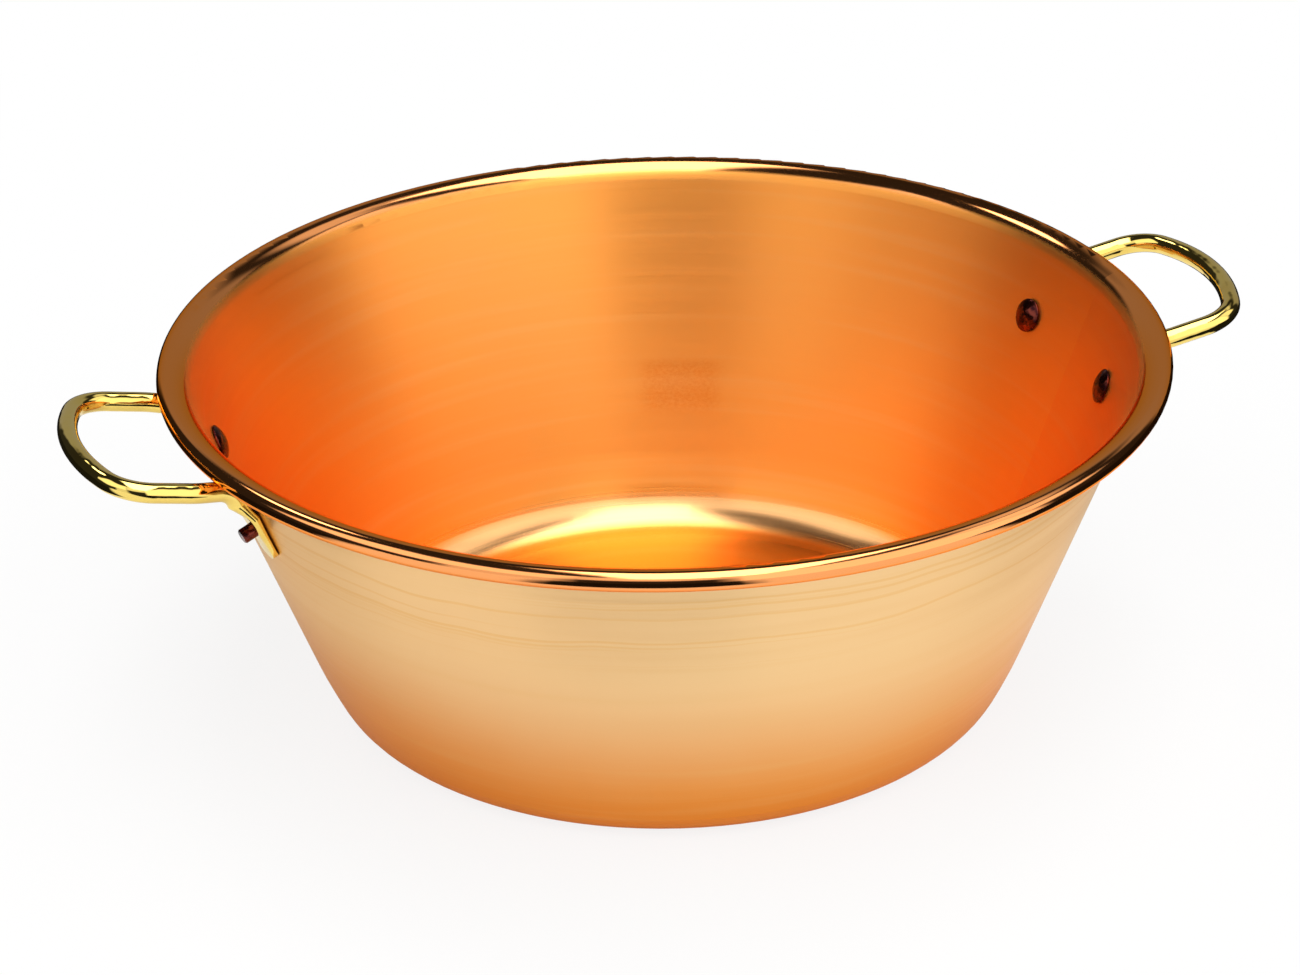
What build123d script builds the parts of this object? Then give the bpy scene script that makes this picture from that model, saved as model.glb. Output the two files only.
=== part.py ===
from build123d import *
import os
from math import asin, cos, degrees, radians, sin, tan

os.makedirs("parts", exist_ok=True)

# Driving dimensions of the pan, in millimetres and degrees
rim_diameter = 400.0
pan_height = 148.0
sheet_thickness = 1.5
wall_flare_angle = 20.6
belly_flare_angle = 27.0
corner_radius = 20.0
belly_radius = 190.0

# The rolled rim, with a wire inside it
bead_diameter = 7.8
rim_bend_radius = 10.0
roll_angle = 240.0
wire_clearance = 0.5

# The loops of the two rod handles
rod_diameter = 7.8
loop_width = 86.0
loop_reach = 38.2
loop_rise_angle = 10.5
grip_bow_radius = 84.0
loop_corner_radius = 18.0
loop_side_length = 16.0
rim_gap = 0.3

# The legs of the handles, from the bend under the rim down to the tip of the tab
rivet_half_angle = 12.2
leg_bend_radius = 9.0
leg_turn_radius = 25.0
leg_stand_off = 0.5
leg_straight_length = 1.0
forging_length = 7.6
tab_root_length = 6.5
tab_tip_length = 15.0
tab_width = 12.4
tab_root_thickness = 4.0
tab_tip_thickness = 2.2
seat_clearance = 0.06

# The rivets
shank_diameter = 6.0
hole_clearance = 0.05
head_diameter = 14.0
head_height = 3.2
head_edge_height = 0.9
head_edge_radius = 0.4
tail_length = 5.2
tail_chamfer = 0.5

# How far a cut runs past what it cuts
cut_overrun = 2.0


def polar(radius, angle, centre=(0, 0)):
    """A point at an angle round a centre, in the plane of a section."""
    turn = radians(angle)
    return (centre[0] + radius * cos(turn), centre[1] + radius * sin(turn))


# The section of the pan: each arc is tangent to its neighbours
rim_radius = rim_diameter / 2
bead_radius = bead_diameter / 2
bead_centre = (rim_radius - bead_radius, pan_height - bead_radius)
bend_centre = (bead_centre[0], pan_height - rim_bend_radius)
bend_angle = 180 - wall_flare_angle
wall_top = polar(rim_bend_radius - sheet_thickness, bend_angle, bend_centre)

# The corner's centre is as far out as carries the floor, corner and belly into the wall
belly_start = polar(corner_radius - belly_radius, -belly_flare_angle, (0, corner_radius))
belly_end = polar(belly_radius, -wall_flare_angle, belly_start)
wall_slope = tan(radians(wall_flare_angle))
corner_reach = wall_top[0] - belly_end[0] - (wall_top[1] - belly_end[1]) * wall_slope
corner_centre = (corner_reach, corner_radius)
belly_centre = (belly_start[0] + corner_reach, belly_start[1])

# The loop of a handle lies in a plane that rises outward from just under the bead
rod_radius = rod_diameter / 2
leg_offset = rod_radius + leg_stand_off
loop_height = pan_height - bead_diameter - rim_gap - rod_radius
loop_rise = radians(loop_rise_angle)
loop_plane = Plane(
    origin=(rim_radius, 0, loop_height),
    x_dir=(cos(loop_rise), 0, sin(loop_rise)),
    z_dir=(-sin(loop_rise), 0, cos(loop_rise)),
)


def wall_plane(azimuth, rise):
    """Plane on the outside of the wall, facing outward, at a rise up the slope from the wall's top."""
    turn = radians(azimuth)
    lean = radians(wall_flare_angle)
    up = Vector(sin(lean) * cos(turn), sin(lean) * sin(turn), cos(lean))
    top = Vector(wall_top[0] * cos(turn), wall_top[0] * sin(turn), wall_top[1])
    across = Vector(-sin(turn), cos(turn), 0)
    return Plane(origin=top + up * rise, x_dir=across, z_dir=across.cross(up))


def cross_plane(azimuth, rise):
    """Plane across a leg, facing up the wall, with its Y outward from the wall."""
    face = wall_plane(azimuth, rise)
    return Plane(origin=face.origin, x_dir=-face.x_dir, z_dir=face.y_dir)


# Distances up the slope of the wall, worked down from where a leg meets the loop's plane
leg_foot = wall_plane(rivet_half_angle, 0).from_local_coords((0, 0, leg_offset))
leg_corner = loop_plane.intersect(Axis(leg_foot, wall_plane(rivet_half_angle, 0).y_dir))
leg_turn = 90 - wall_flare_angle - loop_rise_angle
leg_corner_rise = (leg_corner - leg_foot).dot(wall_plane(rivet_half_angle, 0).y_dir)
rod_end_rise = leg_corner_rise - leg_bend_radius * tan(radians(leg_turn / 2)) - leg_straight_length
tab_root_rise = rod_end_rise - forging_length
rivet_rise = tab_root_rise - tab_root_length
tab_tip_rise = rivet_rise - tab_tip_length
rivet_radius = wall_plane(0, rivet_rise).origin.X

# A rivet's azimuth by its name: the handles are at the right and left, and row 1 is at the back
rivet_azimuths = {
    "right_front": -rivet_half_angle,
    "right_back": rivet_half_angle,
    "left_front": 180 + rivet_half_angle,
    "left_back": 180 - rivet_half_angle,
}

# The rivet's own sizes: its head clears the curve of the wall, and its tail stands out of the tab
shank_radius = shank_diameter / 2
hole_radius = shank_radius + hole_clearance
head_radius = head_diameter / 2
head_seat = -sheet_thickness - seat_clearance - head_radius**2 / (2 * rivet_radius)
tab_taper = (tab_root_thickness - tab_tip_thickness) / (tab_root_length + tab_tip_length)
tab_thickness = tab_tip_thickness + tab_taper * tab_tip_length
tail_top = seat_clearance + tab_thickness + tail_length

# Pan body: one sheet with a flat floor, a round corner, a flared wall and a rolled rim
with BuildPart() as pan_body:
    with BuildSketch(Plane.XZ):
        with BuildLine():
            corner_skin_radius = corner_radius - sheet_thickness
            corner = CenterArc(corner_centre, corner_skin_radius, -90, 90 - belly_flare_angle)
            Line((0, sheet_thickness), corner @ 0)
            belly_turn = belly_flare_angle - wall_flare_angle
            belly = CenterArc(belly_centre, belly_radius - sheet_thickness, -belly_flare_angle, belly_turn)
            bend = CenterArc(bend_centre, rim_bend_radius, bend_angle, 90 - bend_angle)
            Line(belly @ 1, bend @ 0)
            CenterArc(bead_centre, bead_radius, 90, -roll_angle)
            offset(amount=sheet_thickness, side=Side.RIGHT)
        make_face()
    revolve(axis=Axis.Z)
    for azimuth in rivet_azimuths.values():
        with Locations(wall_plane(azimuth, rivet_rise).offset(cut_overrun)):
            Hole(radius=hole_radius, depth=sheet_thickness + 2 * cut_overrun)
pan_body.part.label = "pan_body"
export_step(pan_body.part, "parts/pan_body.step")

# Rim wire: it stiffens the rim, and the sheet is rolled round it
with BuildPart() as rim_wire:
    with BuildSketch(Plane.XZ):
        with Locations(bead_centre):
            Circle(bead_radius - sheet_thickness - wire_clearance)
    revolve(axis=Axis.Z)
rim_wire.part.label = "rim_wire"
export_step(rim_wire.part, "parts/rim_wire.step")


def forged_end(azimuth):
    """The end of the rod, hammered from round to flat, thinning to a round tip."""
    flats = ((tab_tip_rise, tab_tip_thickness), (tab_root_rise, tab_root_thickness))
    with BuildPart() as end:
        for rise, thickness in flats:
            with BuildSketch(cross_plane(azimuth, rise)):
                with Locations((0, seat_clearance + thickness / 2)):
                    SlotOverall(tab_width, thickness)
        with BuildSketch(cross_plane(azimuth, rod_end_rise)):
            with Locations((0, leg_offset)):
                Circle(rod_radius)
        loft(ruled=True)
        outline_length = rod_end_rise + tab_width - tab_tip_rise
        with BuildSketch(wall_plane(azimuth, tab_tip_rise + outline_length / 2)):
            SlotOverall(outline_length, tab_width, rotation=90)
        extrude(amount=leg_offset + rod_diameter, both=True, mode=Mode.INTERSECT)
    return end.part


# Right handle: a rod bent into a loop, with a flattened end against the wall at each side
with BuildPart() as handle_right:
    half_width = loop_width / 2
    bow_centre = loop_reach - grip_bow_radius
    corner_side = half_width - loop_corner_radius
    bow_reach = grip_bow_radius - loop_corner_radius
    bow_turn = degrees(asin(corner_side / bow_reach))
    corner_out = bow_centre + bow_reach * cos(radians(bow_turn))
    with BuildLine(loop_plane) as grip:
        CenterArc((bow_centre, 0), grip_bow_radius, -bow_turn, 2 * bow_turn)
        for row in (1, -1):
            CenterArc((corner_out, row * corner_side), loop_corner_radius, row * bow_turn, row * (90 - bow_turn))
    with BuildLine() as route:
        add(grip.line)
        for row in (1, -1):
            leg_end = wall_plane(row * rivet_half_angle, rod_end_rise)
            FilletPolyline(
                loop_plane.from_local_coords((corner_out, row * half_width)),
                loop_plane.from_local_coords((corner_out - loop_side_length, row * half_width)),
                Vector(leg_corner.X, row * leg_corner.Y, leg_corner.Z),
                leg_end.from_local_coords((0, 0, leg_offset)),
                radius=(leg_turn_radius, leg_bend_radius),
            )
    with BuildSketch(cross_plane(rivet_half_angle, rod_end_rise)):
        with Locations((0, leg_offset)):
            Circle(rod_radius)
    sweep(path=route.wire())
    for row in (1, -1):
        azimuth = row * rivet_half_angle
        add(forged_end(azimuth))
        hole_depth = tab_root_thickness + 2 * cut_overrun
        with Locations(wall_plane(azimuth, rivet_rise).offset(tab_root_thickness + cut_overrun)):
            Hole(radius=hole_radius, depth=hole_depth)
handle_right.part.label = "handle_right"
export_step(handle_right.part, "parts/handle_right.step")

# Left handle: the same, on the other side
with BuildPart() as handle_left:
    mirror(handle_right.part, about=Plane.YZ)
handle_left.part.label = "handle_left"
export_step(handle_left.part, "parts/handle_left.step")

# Rivets: a domed head inside the pan, and a shank whose plain tail stands out of the tab
for name, azimuth in rivet_azimuths.items():
    with BuildPart() as rivet:
        with BuildSketch(cross_plane(azimuth, rivet_rise)) as section:
            with BuildLine():
                dome = TangentArc(
                    (0, head_seat - head_height), (head_radius, head_seat - head_edge_height), tangent=(1, 0)
                )
                Polyline(
                    dome @ 1,
                    (head_radius, head_seat),
                    (shank_radius, head_seat),
                    (shank_radius, tail_top - tail_chamfer),
                    (shank_radius - tail_chamfer, tail_top),
                    (0, tail_top),
                    dome @ 0,
                )
            make_face()
            fillet(section.vertices().group_by(Axis.X)[-1], head_edge_radius)
        rivet_plane = wall_plane(azimuth, rivet_rise)
        revolve(axis=Axis(rivet_plane.origin, rivet_plane.z_dir))
    rivet.part.label = "rivet_" + name
    export_step(rivet.part, "parts/rivet_" + name + ".step")

print("rivet height", round(wall_plane(0, rivet_rise).origin.Z, 2), "radius", round(rivet_radius, 2))
print("floor radius", round(corner_reach, 2), "loop corner out", round(corner_out, 2))
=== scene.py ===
# %% [markdown]
# # A copper jam pan
#
# The pan's solids come in ready made, at their real size: the spun body, the wire in its rim,
# two handles and four rivets. They keep their shapes here. This script gives them their
# finishes, and builds the floor, the light and the camera around them.

# %% Load the frame
from math import cos, radians, sin

import bpy
from mathutils import Matrix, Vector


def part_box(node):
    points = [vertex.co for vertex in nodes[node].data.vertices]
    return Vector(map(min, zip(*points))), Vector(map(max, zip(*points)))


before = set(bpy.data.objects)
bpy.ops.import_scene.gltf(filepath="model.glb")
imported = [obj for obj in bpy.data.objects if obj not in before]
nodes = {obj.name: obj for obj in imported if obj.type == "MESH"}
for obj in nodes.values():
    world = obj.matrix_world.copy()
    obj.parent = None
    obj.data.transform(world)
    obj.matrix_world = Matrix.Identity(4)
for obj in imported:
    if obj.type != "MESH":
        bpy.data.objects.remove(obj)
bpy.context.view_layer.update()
pan_low, pan_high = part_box("pan_body")
scene = bpy.context.scene
scene.view_settings.view_transform = "Standard"
print("nodes", sorted(nodes))
print("pan body", [round(v, 4) for v in pan_high - pan_low], "m")

# %% [markdown]
# ## Where the camera stands
#
# A pan photographed from too near looks like a fish-eye view, with its far rim shrunk. Here a
# long lens stands well back, a little above the rim, so that one sees both the inside and the
# outside. The handles lie along X, so the camera stands off to one side of the Y axis.

# %% Camera
photo_width = 1300
camera_turn = radians(-18.4)
camera_distance = 1.6582
camera_elevation = radians(26.8)
target_height = 0.070
camera_pitch = radians(26.38)
camera_yaw = radians(0.34)
camera_roll = radians(-1.1)
level_look = radians(90)
focal_pixels = 4109
centre_shift_pixels = (5.6, 0.9)

camera_reach = camera_distance * cos(camera_elevation)
camera_height = target_height + camera_distance * sin(camera_elevation)
turn = Matrix.Rotation(camera_turn, 4, "Z")
stand = Matrix.Translation((0, -camera_reach, camera_height))
tilt = Matrix.Rotation(level_look - camera_pitch, 4, "X")
look = Matrix.Rotation(camera_yaw, 4, "Z") @ tilt
roll = Matrix.Rotation(camera_roll, 4, "Z")

camera_data = bpy.data.cameras.new("camera")
camera_data.lens = focal_pixels * camera_data.sensor_width / photo_width
camera_data.shift_x = centre_shift_pixels[0] / photo_width
camera_data.shift_y = centre_shift_pixels[1] / photo_width
camera = bpy.data.objects.new("camera", camera_data)
scene.collection.objects.link(camera)
camera.matrix_world = turn @ stand @ look @ roll
scene.camera = camera
print("lens", round(camera_data.lens, 1), "mm, at", [round(v, 3) for v in camera.location])

# %% [markdown]
# ## Shader maths as plain sums
#
# Each finish below is worked out from a point's place on the pan. Wiring dozens of Math nodes
# by hand is slow to read, so a small class wraps a node's output and adds a Math node for each
# plus, minus, times or divide. The formula in the script is then the formula in the material.

# %% Values in sums
class Field:
    """A value that changes from place to place, and that stands in a sum like a number."""

    def __init__(self, graph, socket):
        self.graph = graph
        self.socket = socket

    def math(self, operation, *values):
        """A Math node on this value and any others."""
        inputs = dict(enumerate((self, *values)))
        return self.graph.add("ShaderNodeMath", {"operation": operation}, inputs)

    def flipped(self, operation, value):
        """A Math node with a plain number first and this value second."""
        return self.graph.add("ShaderNodeMath", {"operation": operation}, {0: value, 1: self})

    def __add__(self, other):
        return self.math("ADD", other)

    def __sub__(self, other):
        return self.math("SUBTRACT", other)

    def __mul__(self, other):
        return self.math("MULTIPLY", other)

    def __truediv__(self, other):
        return self.math("DIVIDE", other)

    def __rsub__(self, other):
        return self.flipped("SUBTRACT", other)

    def __rtruediv__(self, other):
        return self.flipped("DIVIDE", other)

    __radd__ = __add__
    __rmul__ = __mul__


print("values ready")

# %% [markdown]
# ## The nodes of a finish
#
# A finish often changes softly where one zone of the metal ends: at the foot, at the polished
# rim, at the edge of a lamp. A smooth step does that, and two steps make a band with two soft
# ends. The second class below holds a material's nodes and has a method for each of these.

# %% Node helpers
# The mean of a noise: taken off it, the noise adds as often as it takes away
middle = 0.5


def rgb(red, green, blue):
    """A colour, as a node wants it."""
    return (red, green, blue, 1.0)


class Graph:
    """The nodes of one material, or of the world."""

    def __init__(self, tree):
        self.tree = tree
        tree.nodes.clear()

    def add(self, kind, settings=None, inputs=None, output=0):
        """Add a node: its settings first, then its sockets' values or links."""
        node = self.tree.nodes.new(kind)
        for name, value in (settings or {}).items():
            setattr(node, name, value)
        for name, value in (inputs or {}).items():
            if isinstance(value, Field):
                self.tree.links.new(value.socket, node.inputs[name])
            else:
                node.inputs[name].default_value = value
        return Field(self, node.outputs[output]) if node.outputs else None

    def mix(self, factor, first, second):
        """A colour between two colours."""
        settings = {"data_type": "RGBA"}
        return self.add("ShaderNodeMix", settings, {0: factor, 6: first, 7: second}, output=2)

    def blend(self, factor, first, second):
        """A number between two numbers."""
        return first + (second - first) * factor

    def step(self, value, low, high):
        """A soft step from 0 to 1 as a value goes from low to high."""
        settings = {"interpolation_type": "SMOOTHSTEP"}
        inputs = {"Value": value, "From Min": low, "From Max": high}
        return self.add("ShaderNodeMapRange", settings, inputs)

    def window(self, value, rise, fall):
        """1 between two steps, each given by its start and its end, and 0 outside them."""
        return self.step(value, *rise) * (1 - self.step(value, *fall))

    def edge(self, value, place, soft):
        """A step that is centred on a place."""
        return self.step(value, place - soft, place + soft)

    def band(self, value, start, end, soft):
        """1 between two centred steps, and 0 outside them."""
        return self.edge(value, start, soft) * (1 - self.edge(value, end, soft))

    def point(self, x, y, z):
        """A vector from three numbers."""
        return self.add("ShaderNodeCombineXYZ", inputs={0: x, 1: y, 2: z})

    def axes(self, vector):
        """The three numbers of a vector."""
        split = self.add("ShaderNodeSeparateXYZ", inputs={0: vector}).socket.node
        return [Field(self, socket) for socket in split.outputs]

    def place(self):
        """The place on the object, in metres."""
        return self.add("ShaderNodeTexCoord", output="Object")

    def noise(self, place, scale, detail, roughness=0.5):
        """Soft random noise at a place, from 0 to 1."""
        inputs = {"Vector": place, "Scale": scale, "Detail": detail, "Roughness": roughness}
        return self.add("ShaderNodeTexNoise", inputs=inputs)

    def bump(self, height, strength, depth):
        """A surface direction that small hills and dips tilt."""
        inputs = {"Strength": strength, "Distance": depth, "Height": height}
        return self.add("ShaderNodeBump", inputs=inputs)

    def metal(self, colour, roughness, more=None):
        """A metal surface."""
        inputs = {"Base Color": colour, "Metallic": 1.0, "Roughness": roughness, **(more or {})}
        return self.add("ShaderNodeBsdfPrincipled", inputs=inputs)

    def finish(self, surface):
        """Join a surface to the material's output."""
        self.add("ShaderNodeOutputMaterial", inputs={"Surface": surface})


print("node helpers ready")

# %% [markdown]
# ## Making and giving a material
#
# Each material starts as an empty set of nodes. A finished one goes on every piece that is
# made of that metal, so two short functions do the start and the end of the work.

# %% Materials
def new_material(name):
    """An empty material and its nodes."""
    material = bpy.data.materials.new(name)
    material.use_nodes = True
    return material, Graph(material.node_tree)


def set_materials(node_names, material):
    """Put a material in every slot of these nodes."""
    for name in node_names:
        mesh = nodes[name].data
        mesh.materials.clear()
        mesh.materials.append(material)
    print(material.name, "on", ", ".join(node_names))


print("material helpers ready")

# %% [markdown]
# ## A light tent
#
# Polished metal has almost no look of its own: it shows what stands around it. A product
# photographer hangs one big soft lamp overhead, puts white cards left and right of the camera,
# one over it and one behind, and leaves gaps between them dark, so that bright metal gets crisp
# black lines too. The world here is painted in that way, by direction. Painting it costs less
# noise than real lamps would.

# %% Cards and lamps
dark_level = 0.03
card_edge = radians(4)
# Left edge, right edge, bottom and top in degrees round the camera's side, and the level
cards = {
    "right card": (14, 86, -12, 57, 1.75),
    "right wing": (86, 112, 22, 57, 1.5),
    "left card": (-95, -22, 20, 57, 1.7),
    "left foot": (-48, -22, -12, 20, 1.1),
    "over the camera": (-22, 14, 28, 57, 1.3),
    "behind right": (118, 158, 44, 57, 1.0),
}
backdrop_right = radians(130)
backdrop_left = radians(-147)
backdrop_top = radians(34)
backdrop_level = 0.38
softbox_level = 4.6
softbox_across = (-0.15, 0.38)
softbox_along = (-0.85, 0.5)
softbox_lift = 0.3
softbox_edge = 0.05
small_lamp_level = 6.0
small_lamp_turn = radians(141)
small_lamp_height = radians(47)
small_lamp_radius = radians(6)
# The lamp's soft rim starts and ends at these shares of its radius
small_lamp_rim = (1.3, 0.7)


def light_cards(graph, rightward, elevation):
    """The dark tent, its grey backdrop and its white cards."""
    behind = graph.edge(rightward, backdrop_right, card_edge)
    behind = behind + (1 - graph.edge(rightward, backdrop_left, card_edge))
    backdrop = behind * (1 - graph.edge(elevation, backdrop_top, card_edge))
    tent = graph.blend(backdrop, dark_level, backdrop_level)
    for left_edge, right_edge, bottom, top, level in cards.values():
        wide = graph.band(rightward, radians(left_edge), radians(right_edge), card_edge)
        high = graph.band(elevation, radians(bottom), radians(top), card_edge)
        tent = graph.blend(wide * high, tent, level)
    return tent


def softbox_mask(graph, right, back, up):
    """1 inside the flat box overhead, and 0 elsewhere."""
    across = graph.band(right / up, *softbox_across, softbox_edge)
    along = graph.band(back / up, *softbox_along, softbox_edge)
    return across * along * graph.edge(up, softbox_lift, softbox_edge)


def small_lamp_mask(graph, right, back, up):
    """1 inside the small round lamp behind at the left, and 0 elsewhere."""
    lamp_x = -sin(small_lamp_turn) * cos(small_lamp_height)
    lamp_y = -cos(small_lamp_turn) * cos(small_lamp_height)
    toward_lamp = right * lamp_x + back * lamp_y + up * sin(small_lamp_height)
    rim = [cos(small_lamp_radius * share) for share in small_lamp_rim]
    return graph.step(toward_lamp, *rim)


print("cards", ", ".join(cards))

# %% [markdown]
# ## The tent in the world
#
# The cards and lamps are measured from the camera's side, so the direction is turned with the
# camera's stand first. Only reflections and light see the tent. Where the camera looks past the
# pan it sees plain white, as on a shop's page.

# %% World
def paint_world(graph):
    """The tent's brightness in each direction, and plain white where the camera looks."""
    direction = graph.add("ShaderNodeTexCoord", output="Generated")
    turned = graph.add(
        "ShaderNodeVectorRotate",
        {"rotation_type": "Z_AXIS"},
        {"Vector": direction, "Angle": -camera_turn},
    )
    right, back, up = graph.axes(turned)
    elevation = up.math("ARCSINE")
    rightward = right.math("ARCTAN2", back * -1)
    tent = light_cards(graph, rightward, elevation)
    tent = graph.blend(softbox_mask(graph, right, back, up), tent, softbox_level)
    tent = graph.blend(small_lamp_mask(graph, right, back, up), tent, small_lamp_level)
    seen = graph.add("ShaderNodeLightPath", output="Is Camera Ray")
    level = graph.blend(seen, tent, 1.0)
    surface = graph.add("ShaderNodeBackground", inputs={"Strength": level})
    graph.add("ShaderNodeOutputWorld", inputs={"Surface": surface})


world = bpy.data.worlds.new("light tent")
world.use_nodes = True
scene.world = world
paint_world(Graph(world.node_tree))
print("world nodes", len(world.node_tree.nodes))

# %% [markdown]
# ## A white floor that keeps its shadow
#
# The floor has to run out to pure white, and still hold the soft shadow that seats the pan. A matt
# white floor alone goes grey away from the lamp, so part of its white is a glow that the camera
# sees. The metal mirrors a smaller sheet of bright paper: a disc round the pan, and a foot in
# front of each card. Beyond these it mirrors a dark floor, which draws the black lines on the rim
# and the handles. The paper also glows for the metal, and that glow holds painted shade: it is
# weaker on the left of the pan, and it fades out near the pan's foot as a painted shadow.

# %% Floor
floor_reach = 3.0
floor_white = 0.9
floor_dark = 0.01
paper_edge = (0.30, 0.32)
card_foot_right = (radians(16), radians(62))
card_foot_left = (radians(24), radians(62))
camera_glow = 0.85
shadow_edge = (0.30, 0.80)
# Painted shade in the glow that the metal mirrors: weaker on the left, and starting only away from
# the pan's foot, a painted shadow
mirror_glow_left = 0.4
mirror_glow_right = 1.0
mirror_glow_turn = (-0.16, 0.08)
mirror_glow_start = (0.12, 0.165)


def paper_mask(graph, distance, rightward):
    """1 on the bright paper that the metal mirrors: round the pan and in front of the cards."""
    near = 1 - graph.step(distance, *paper_edge)
    right_foot = graph.band(rightward, *card_foot_right, card_edge)
    left_foot = graph.band(rightward * -1, *card_foot_left, card_edge)
    return near.math("MAXIMUM", left_foot + right_foot)


def floor_material():
    """Matt white with a glow for the camera, and bright paper on it for the metal."""
    material, graph = new_material("white floor")
    x, y = graph.axes(graph.place())[:2]
    distance = (x * x + y * y).math("SQRT")
    toward_right = x * cos(camera_turn) + y * sin(camera_turn)
    toward_back = y * cos(camera_turn) - x * sin(camera_turn)
    paper = paper_mask(graph, distance, toward_right.math("ARCTAN2", toward_back * -1))
    seen = graph.add("ShaderNodeLightPath", output="Is Camera Ray")
    mirrored = graph.add("ShaderNodeLightPath", output="Is Glossy Ray")
    through = graph.add("ShaderNodeLightPath", output="Is Transmission Ray")
    level = graph.blend(mirrored * (1 - paper), floor_white, floor_dark)
    colour = graph.add("ShaderNodeCombineColor", inputs={0: level, 1: level, 2: level})
    matt = graph.add("ShaderNodeBsdfDiffuse", inputs={"Color": colour})
    glow = graph.add("ShaderNodeEmission", inputs={"Color": rgb(1, 1, 1), "Strength": 1.0})
    # Painted shade and painted shadow: the mirrored glow is dimmer on the left and fades out near
    # the pan's foot
    lit_side = graph.step(toward_right, *mirror_glow_turn)
    mirror_glow = graph.blend(lit_side, mirror_glow_left, mirror_glow_right)
    mirror_glow = mirror_glow * graph.step(distance, *mirror_glow_start) * paper
    plain_glow = graph.blend(graph.step(distance, *shadow_edge), camera_glow, 1.0)
    share = (seen + through) * plain_glow + mirrored * mirror_glow
    graph.finish(graph.add("ShaderNodeMixShader", inputs={0: share, 1: matt, 2: glow}))
    return material


bpy.ops.object.select_all(action="DESELECT")
bpy.ops.mesh.primitive_plane_add(size=2 * floor_reach)
floor = bpy.context.object
floor.name = "floor"
floor.data.materials.append(floor_material())
print("floor", floor_reach * 2, "m across")

# %% [markdown]
# ## Where each copper finish lies
#
# The body is one disc of sheet, spun against a form on a lathe, and then its rim is polished.
# So the zones of its finish are rings: a height or a radius says where one ends. Inside and
# outside are told apart by the way that the surface faces, because the sheet is too thin to
# tell them apart by place.

# %% Copper zones
polish_radii = (0.1880, 0.1895)
polish_heights = (0.139, 0.140)
inside_lean = 0.5
inside_edge = 0.1
# For each kind of ring: its drift round the pan, its fineness along the section, its detail
fine_ring = (4, 900, 2.0)
broad_ring = (6, 130, 3.0)
line_ring = (2, 420, 1.0)


def polished_zone(graph, radius, z):
    """1 on the polished inner band of the rim and its roll, and 0 elsewhere."""
    return graph.step(radius, *polish_radii) * graph.step(z, *polish_heights)


def inner_side(graph, x, y, radius):
    """1 on the inside of the pan and 0 on the outside."""
    facing = graph.add("ShaderNodeTexCoord", output="Normal")
    facing_x, facing_y, facing_z = graph.axes(facing)
    inward = facing_z * inside_lean - (facing_x * x + facing_y * y) / radius
    return graph.step(inward, -inside_edge, inside_edge)


def ring_noise(graph, x, y, along, ring):
    """Noise drawn out into rings round the pan."""
    drift, fineness, detail = ring
    return graph.noise(graph.point(x * drift, y * drift, along * fineness), 1.0, detail)


print("polish starts at radius", polish_radii[0], "m")

# %% [markdown]
# ## The outside's colour
#
# The foot is painted deeper in colour than the wall above it: painted shade, for the shadowed
# floor that the foot mirrors.
# Under the rim, the spinning tool has left a few faint, uneven lines. Both follow the height,
# and a little noise is added to it so that neither ends in a ruled line.

# %% Outside copper
outside_colour = rgb(0.99, 0.66, 0.32)
# Painted shade: the foot's darker colour
foot_shade_colour = rgb(0.86, 0.29, 0.035)
foot_shade_heights = (0.005, 0.095)
foot_shade_waver = 0.02
line_colour = rgb(0.90, 0.50, 0.14)
line_share = 0.4
line_threshold = (0.58, 0.68)
line_rise = (0.092, 0.102)
line_fall = (0.136, 0.139)
line_waver = 0.008
line_waver_noise = (14.0, 2.0)


def outside_copper(graph, place, clouds):
    """Pale copper, with painted shade making it deeper at the foot, and a few faint lines under
    the rim.
    """
    x, y, z = graph.axes(place)
    # Painted shade, darker towards the foot
    painted_foot_shade = 1 - graph.step(z + (clouds - middle) * foot_shade_waver, *foot_shade_heights)
    colour = graph.mix(painted_foot_shade, outside_colour, foot_shade_colour)
    wavy = z + (graph.noise(place, *line_waver_noise) - middle) * line_waver
    lines = graph.step(ring_noise(graph, x, y, wavy, line_ring), *line_threshold)
    lines = lines * graph.window(z, line_rise, line_fall)
    return graph.mix(lines * line_share, colour, line_colour)


print("foot tone up to", foot_shade_heights[1], "m")

# %% [markdown]
# ## The inside's colour
#
# Light bounces between the walls, and each bounce deepens the orange. The inside gets a stronger
# colour than the outside: painted bounce light, which stands in for more of these bounces than the
# render gives. The round corner is painted paler, a painted highlight. On the back wall sits one
# soft, mottled patch of stain: fine noise inside a window of angle and height.

# %% Inside copper
# Painted bounce light: the inside's deeper orange
inside_bounce_colour = rgb(0.96, 0.39, 0.075)
# Painted highlight: a paler ring round the corner, for the lamp that the corner mirrors
corner_highlight_colour = rgb(1.0, 0.78, 0.50)
corner_highlight_share = 0.3
corner_highlight_rise = (0.0018, 0.0048)
corner_highlight_fall = (0.009, 0.015)
mark_colour = rgb(0.88, 0.27, 0.03)
mark_share = 0.8
mark_azimuth = radians(69)
mark_half_width = (radians(4), radians(8))
mark_rise = (0.043, 0.051)
mark_fall = (0.064, 0.070)
mottle_across = 90
mottle_up = 900
mottle_noise = (1.0, 5.0, 0.75)
mottle_threshold = (0.3, 0.65)


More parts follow.
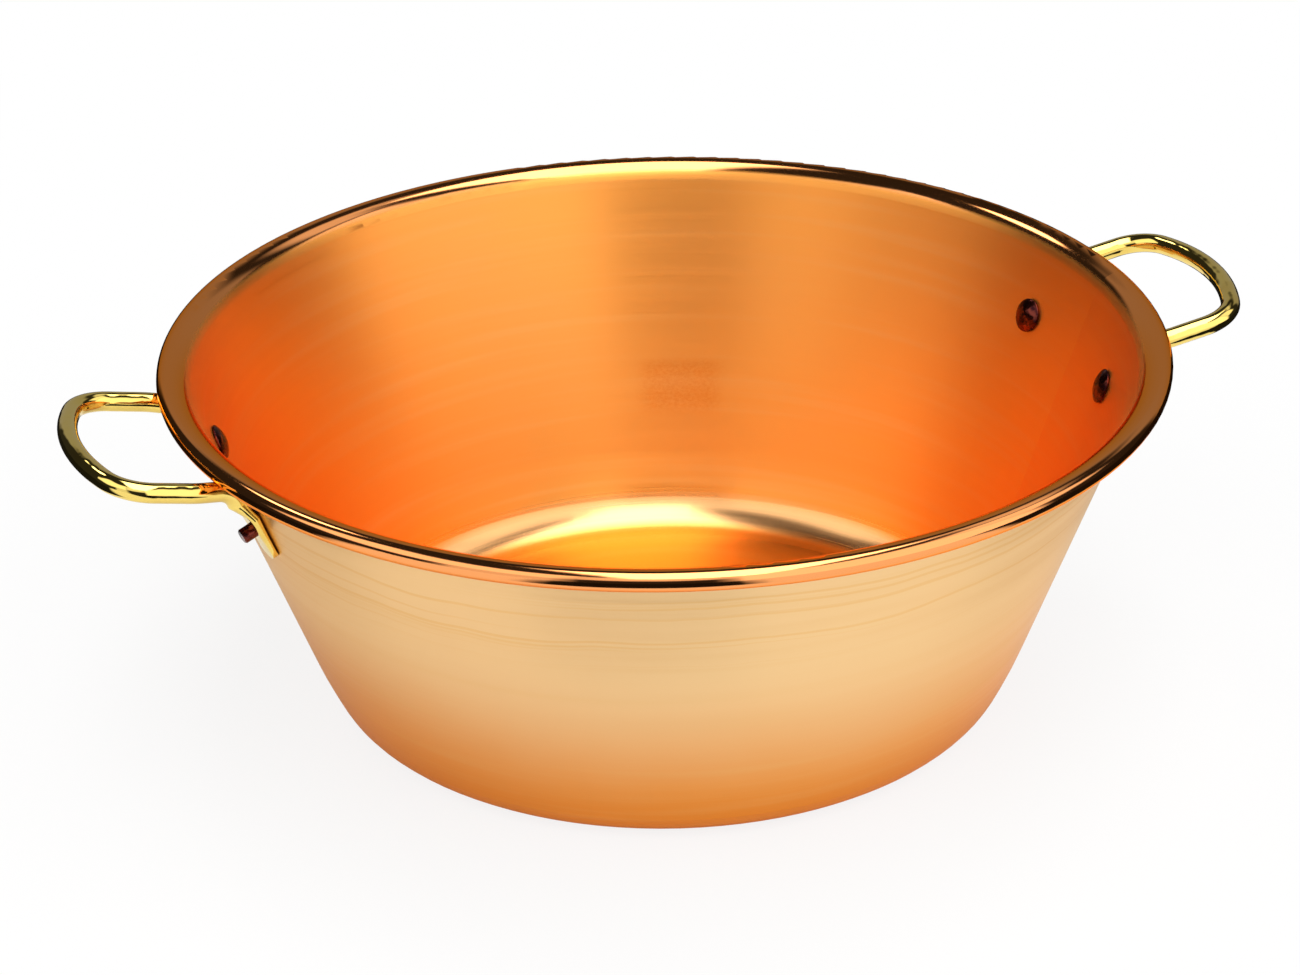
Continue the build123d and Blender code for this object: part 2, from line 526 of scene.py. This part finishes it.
def inside_copper(graph, x, y, z):
    """Copper deepened by painted bounce light, with a painted highlight that makes it paler round
    the corner, and one mottled patch.
    """
    # The corner's paler ring is a painted highlight
    corner_highlight_mask = graph.window(z, corner_highlight_rise, corner_highlight_fall)
    colour = graph.mix(corner_highlight_mask * corner_highlight_share, inside_bounce_colour, corner_highlight_colour)
    azimuth = y.math("ARCTAN2", x)
    aside = (azimuth - mark_azimuth).math("ABSOLUTE")
    grain = graph.point(azimuth * mottle_across, z * mottle_up, 0.0)
    mottled = graph.step(graph.noise(grain, *mottle_noise), *mottle_threshold)
    mark = (1 - graph.step(aside, *mark_half_width)) * mottled
    mark = mark * graph.window(z, mark_rise, mark_fall)
    return graph.mix(mark * mark_share, colour, mark_colour)


print("patch between", mark_rise[0], "and", mark_fall[1], "m")

# %% [markdown]
# ## Spun copper
#
# The lathe's tool leaves fine rings all the way round, too small to see one by one, and they
# smear each highlight up and down the wall. That is what an anisotropic shader does. The floor
# is rubbed brighter than the wall. The polished rim is nearly a mirror, so it gets a shader of
# its own, and a mask mixes the two.

# %% Copper
streak_colour = rgb(0.93, 0.58, 0.22)
streak_share = 0.15
streak_threshold = (0.45, 0.75)
tarnish_colour = rgb(0.80, 0.36, 0.14)
tarnish_share = 0.15
tarnish_threshold = (0.5, 0.85)
cloud_noise = (9.0, 3.0)
inside_roughness = 0.42
outside_roughness = 0.37
burnished_roughness = 0.24
burnish_heights = (0.006, 0.03)
broad_ring_roughness = 0.12
fine_ring_roughness = 0.1
ring_bump = (0.12, 0.0002)
satin_edge_colour = rgb(1.0, 0.86, 0.72)
polished_colour = rgb(1.0, 0.39, 0.13)
polished_edge_colour = rgb(1.0, 0.52, 0.26)
polished_roughness = 0.09
rings_shine = {"Anisotropic": 0.62, "Anisotropic Rotation": 0.25}


def satin_roughness(graph, z, inside, broad_rings, fine_rings):
    """How blurred the satin's reflections are: least on the burnished floor."""
    roughness = graph.blend(inside, outside_roughness, inside_roughness)
    burnished = (1 - graph.step(z, *burnish_heights)) * inside
    roughness = graph.blend(burnished, roughness, burnished_roughness)
    roughness = roughness + (broad_rings - middle) * broad_ring_roughness
    return roughness + (fine_rings - middle) * fine_ring_roughness


def copper_material():
    """Satin inside and out, with rings of the lathe, and a polished rim."""
    material, graph = new_material("spun copper")
    place = graph.place()
    x, y, z = graph.axes(place)
    radius = (x * x + y * y).math("SQRT")
    inside = inner_side(graph, x, y, radius)
    fine_rings = ring_noise(graph, x, y, radius + z, fine_ring)
    broad_rings = ring_noise(graph, x, y, radius + z, broad_ring)
    clouds = graph.noise(place, *cloud_noise)
    colour = graph.mix(inside, outside_copper(graph, place, clouds), inside_copper(graph, x, y, z))
    streaks = graph.step(broad_rings, *streak_threshold)
    colour = graph.mix(streaks * streak_share, colour, streak_colour)
    stained = graph.step(clouds, *tarnish_threshold)
    colour = graph.mix(stained * tarnish_share, colour, tarnish_colour)
    roughness = satin_roughness(graph, z, inside, broad_rings, fine_rings)
    rings = graph.bump(fine_rings, *ring_bump)
    satin_more = {"Specular Tint": satin_edge_colour, "Normal": rings, **rings_shine}
    satin = graph.metal(colour, roughness, satin_more)
    mirror_more = {"Specular Tint": polished_edge_colour, **rings_shine}
    mirror = graph.metal(polished_colour, polished_roughness, mirror_more)
    polished = polished_zone(graph, radius, z)
    graph.finish(graph.add("ShaderNodeMixShader", inputs={0: polished, 1: satin, 2: mirror}))
    return material


set_materials(["pan_body"], copper_material())

# %% [markdown]
# ## Polished brass
#
# The handles are brass rod, bent by hand over a former and polished on a wheel. The wheel
# leaves the surface bright but not quite true, so the lines in it waver. A weak, slow bump
# does that. The brass is a clear yellow, with patches that are a little darker.

# %% Brass
brass_colour = rgb(0.94, 0.70, 0.18)
brass_dark_colour = rgb(0.80, 0.50, 0.08)
brass_dark_share = 0.5
brass_dark_threshold = (0.45, 0.8)
brass_cloud_noise = (60.0, 3.0)
brass_roughness = 0.055
scuff_roughness = 0.06
scuff_noise = (900.0, 2.0)
waver_noise = (110.0, 1.0)
waver_bump = (0.35, 0.001)


def brass_material():
    """Bright brass with a slight waver from hand work."""
    material, graph = new_material("polished brass")
    place = graph.place()
    dark = graph.step(graph.noise(place, *brass_cloud_noise), *brass_dark_threshold)
    colour = graph.mix(dark * brass_dark_share, brass_colour, brass_dark_colour)
    scuffs = graph.noise(place, *scuff_noise)
    roughness = brass_roughness + (scuffs - middle) * scuff_roughness
    waver = graph.bump(graph.noise(place, *waver_noise), *waver_bump)
    graph.finish(graph.metal(colour, roughness, {"Normal": waver}))
    return material


set_materials(["handle_left", "handle_right"], brass_material())

# %% [markdown]
# ## Rivets
#
# The rivets are copper too, but they were heated and hammered, so they have kept a dark skin,
# which the polishing has worn through in places. Noise with a sharp threshold gives the
# patches, and a small bump gives the dents of the hammer.

# %% Rivets
rivet_colour = rgb(0.15, 0.03, 0.02)
oxide_colour = rgb(0.035, 0.008, 0.01)
oxide_noise = (260.0, 3.0)
oxide_threshold = (0.4, 0.6)
rivet_roughness = 0.16
oxide_roughness = 0.12
dent_noise = (420.0, 1.0)
dent_bump = (0.4, 0.0005)


def rivet_material():
    """Dark copper, with its oxide skin in patches."""
    material, graph = new_material("dark copper")
    place = graph.place()
    skin = graph.step(graph.noise(place, *oxide_noise), *oxide_threshold)
    colour = graph.mix(skin, rivet_colour, oxide_colour)
    roughness = rivet_roughness + skin * oxide_roughness
    dents = graph.bump(graph.noise(place, *dent_noise), *dent_bump)
    graph.finish(graph.metal(colour, roughness, {"Normal": dents}))
    return material


set_materials([name for name in nodes if name.startswith("rivet_")], rivet_material())

# %% [markdown]
# ## The wire in the rim
#
# The rim is rolled round a plain drawn iron wire, which stiffens it. It is out of sight, and
# still gets its own dull grey with a trace of rust, for whoever takes the model apart.

# %% Wire
wire_colour = rgb(0.36, 0.35, 0.34)
rust_colour = rgb(0.22, 0.12, 0.07)
rust_share = 0.6
rust_noise = (150.0, 3.0)
rust_threshold = (0.55, 0.75)
wire_roughness = 0.45
rust_roughness = 0.3


def wire_material():
    """Drawn iron wire, dull grey with a trace of rust."""
    material, graph = new_material("iron wire")
    rust = graph.step(graph.noise(graph.place(), *rust_noise), *rust_threshold)
    colour = graph.mix(rust * rust_share, wire_colour, rust_colour)
    graph.finish(graph.metal(colour, wire_roughness + rust * rust_roughness))
    return material


set_materials(["rim_wire"], wire_material())
